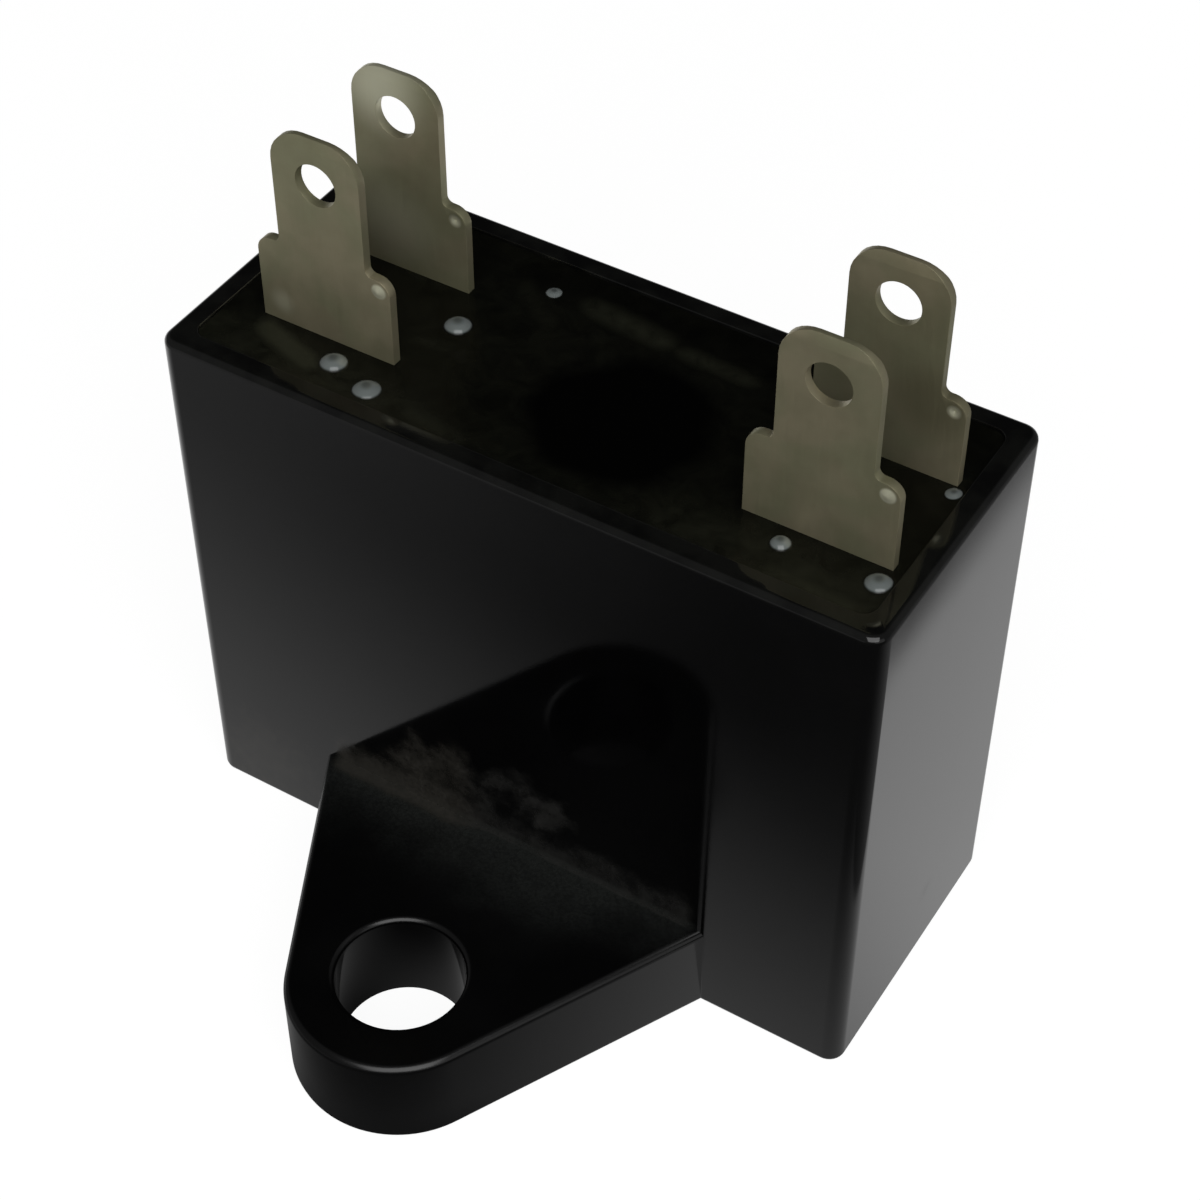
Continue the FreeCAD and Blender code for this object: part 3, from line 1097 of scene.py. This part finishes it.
def plain_metal_finish(name, dark, light, metallic, roughness, stretch=(1, 1, 1)):
    """Solder, wire or sprayed metal inside the resin."""
    material, tree, shader = new_finish(name)
    place = place_mm(tree)
    uneven = 0.06
    streaks = group_node(tree, streak_effect, {"Place": place, "Stretch": stretch})
    grain = group_node(tree, grain_effect, {"Place": place, "Grain Scale": 5.0, "Patch Scale": 1.0})
    tree.links.new(mixed(tree, streaks["Lines"], dark, light), shader.inputs["Base Color"])
    patchy = fall(tree, grain["Patches"], FULL, (roughness - uneven, roughness + uneven))
    tree.links.new(patchy, shader.inputs["Roughness"])
    bumped(tree, shader, grain["Height"], strength=0.4, distance=0.03)
    settle(shader, Metallic=metallic)
    return material


def film_finish(name, dark, light, roughness):
    """Wound film: fine lines along the turns."""
    material, tree, shader = new_finish(name)
    place = place_mm(tree)
    uneven = 0.1
    streaks = group_node(tree, streak_effect, {"Place": place, "Stretch": (0.05, 1.0, 1.0),
                                               "Line Scale": 9.0})
    tree.links.new(mixed(tree, streaks["Lines"], dark, light), shader.inputs["Base Color"])
    patchy = fall(tree, streaks["Stains"], FULL, (roughness, roughness + uneven))
    tree.links.new(patchy, shader.inputs["Roughness"])
    bumped(tree, shader, streaks["Lines"], strength=0.3, distance=0.02)
    return material


# Object

case_plastic = case_finish()
resin = resin_finish()
tin_plate = tin_plate_finish()
build_case(case_plastic)
build_resin(resin)
for side in SIDES:
    build_terminal(side, tin_plate)

# Materials of the CAD solids. Those inside the resin are shown as they are.
sprayed_metal = plain_metal_finish(
    "sprayed_zinc", (0.25, 0.25, 0.26), (0.5, 0.5, 0.52), metallic=0.8, roughness=0.6)
solder = plain_metal_finish(
    "solder", (0.42, 0.43, 0.45), (0.62, 0.62, 0.64), metallic=1.0, roughness=0.3)
tinned_wire = plain_metal_finish(
    "tinned_wire", (0.5, 0.5, 0.5), (0.7, 0.7, 0.69), metallic=1.0, roughness=0.25, stretch=(1, 1, 0.05))
solid_finishes = {
    "case": case_plastic,
    "resin_fill": resin,
    "winding": film_finish("metallised_film", (0.3, 0.31, 0.33), (0.5, 0.51, 0.54), roughness=0.3),
    "outer_wrap": film_finish("plain_film_wrap", (0.5, 0.45, 0.32), (0.62, 0.57, 0.43), roughness=0.35),
}
for side in SIDES:
    solid_finishes["terminal_" + side] = tin_plate
    solid_finishes["end_spray_" + side] = sprayed_metal
    solid_finishes["lead_" + side] = tinned_wire
    solid_finishes["spray_solder_" + side] = solder
    solid_finishes["web_solder_" + side] = solder
for name, material in solid_finishes.items():
    cad_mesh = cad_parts[name].data
    cad_mesh.materials.clear()
    cad_mesh.materials.append(material)


# Stage

def floor_finish():
    """Pale floor: nearly white to the camera, and greyer where the object's gloss mirrors it."""
    material = bpy.data.materials.new("pale_floor")
    material.use_nodes = True
    tree = material.node_tree
    tree.nodes.clear()
    place = place_mm(tree)
    x, y = along_axes(tree, place)[:2]
    # Painted light and shade of the floor as the gloss mirrors it: darker towards the front and past the
    # right end, a little brighter to the left, and painted shadow under the ear and its hole
    depth = maths(tree, "SUBTRACT", y, times(tree, x, mirror_far_slope))
    far = fall(tree, depth, mirror_far_span, mirror_far_range)
    left = fall(tree, x, mirror_left_span, mirror_left_range)
    right = fall(tree, x, mirror_right_span, mirror_right_range)
    from_hole = node(tree, "VectorMath", {0: place}, operation="LENGTH").outputs["Value"]
    hole_depth = plus(tree, y, times(tree, x, below_hole_slope))
    in_hole = fall(tree, hole_depth, below_hole_span, below_hole_range)
    kept = plus(tree, times(tree, fall(tree, from_hole, below_ear_span), in_hole), 1.0)
    mirrored = times(tree, plus(tree, times(tree, far, right), left), kept)

    rays = node(tree, "LightPath", {}).outputs
    mirror_rays = highest(tree, rays["Is Glossy Ray"], rays["Is Transmission Ray"])
    glow = node(tree, "Emission", {"Color": (1, 1, 1, 1), "Strength": floor_glow})
    grey = node(tree, "Emission", {"Strength": mirrored})
    matte = node(tree, "BsdfDiffuse", {"Color": (0.8, 0.8, 0.8, 1)})
    seen = node(tree, "MixShader", {0: times(tree, rays["Is Camera Ray"], floor_seen_share),
                                    1: matte.outputs[0], 2: glow.outputs[0]})
    shown = node(tree, "MixShader", {0: times(tree, mirror_rays, floor_mirrored_share),
                                     1: seen.outputs[0], 2: grey.outputs[0]})
    node(tree, "OutputMaterial", {"Surface": shown.outputs[0]})
    return material


def build_floor():
    """Plain floor just under the object, with its soft shadow."""
    bm = bmesh.new()
    bmesh.ops.create_grid(bm, x_segments=1, y_segments=1, size=floor_half_size * MM)
    bmesh.ops.translate(bm, verts=bm.verts, vec=(0, 0, -floor_drop * MM))
    mesh = bpy.data.meshes.new("floor")
    bm.to_mesh(mesh)
    bm.free()
    mesh.materials.append(floor_finish())
    floor = bpy.data.objects.new("floor", mesh)
    bpy.context.scene.collection.objects.link(floor)


def build_world():
    """Dim room, darkest high at the back, that the camera sees as plain white."""
    world = bpy.data.worlds.new("studio")
    bpy.context.scene.world = world
    world.use_nodes = True
    tree = world.node_tree
    tree.nodes.clear()
    rays = node(tree, "LightPath", {}).outputs
    way = node(tree, "TexCoord", {}).outputs["Generated"]
    to_dark = node(tree, "VectorMath", {0: way, 1: dark_corner}, operation="DOT_PRODUCT").outputs["Value"]
    dim = fall(tree, to_dark, dark_span, (room_light, room_dark))
    strength = highest(tree, dim, rays["Is Camera Ray"])
    room = node(tree, "Background", {"Color": (1, 1, 1, 1), "Strength": strength})
    node(tree, "OutputWorld", {"Surface": room.outputs[0]})


def build_lamp(name, place, size, power):
    """Soft square lamp that faces the box. Place and size are in millimetres."""
    data = bpy.data.lights.new(name, "AREA")
    data.size = size * MM
    data.energy = power
    obj = bpy.data.objects.new(name, data)
    obj.location = Vector(place) * MM
    way = Vector(lamp_target) - Vector(place)
    obj.rotation_euler = way.to_track_quat("-Z", "Y").to_euler()
    bpy.context.scene.collection.objects.link(obj)


def build_camera():
    """Camera at the photograph's viewing angle."""
    data = bpy.data.cameras.new("camera")
    data.sensor_width = camera_sensor
    data.lens = camera_lens
    data.clip_start, data.clip_end = camera_clip
    camera = bpy.data.objects.new("camera", data)
    right = Vector(camera_right).normalized()
    back = Vector(camera_back).normalized()
    above = back.cross(right)
    turn = Matrix((right, above, back)).transposed().to_4x4()
    camera.matrix_world = Matrix.Translation(Vector(camera_place) * MM) @ turn
    bpy.context.scene.collection.objects.link(camera)
    bpy.context.scene.camera = camera


build_floor()
build_world()
for name, place, size, power in lamps:
    build_lamp(name, place, size, power)
build_camera()
bpy.context.scene.view_settings.view_transform = "Standard"
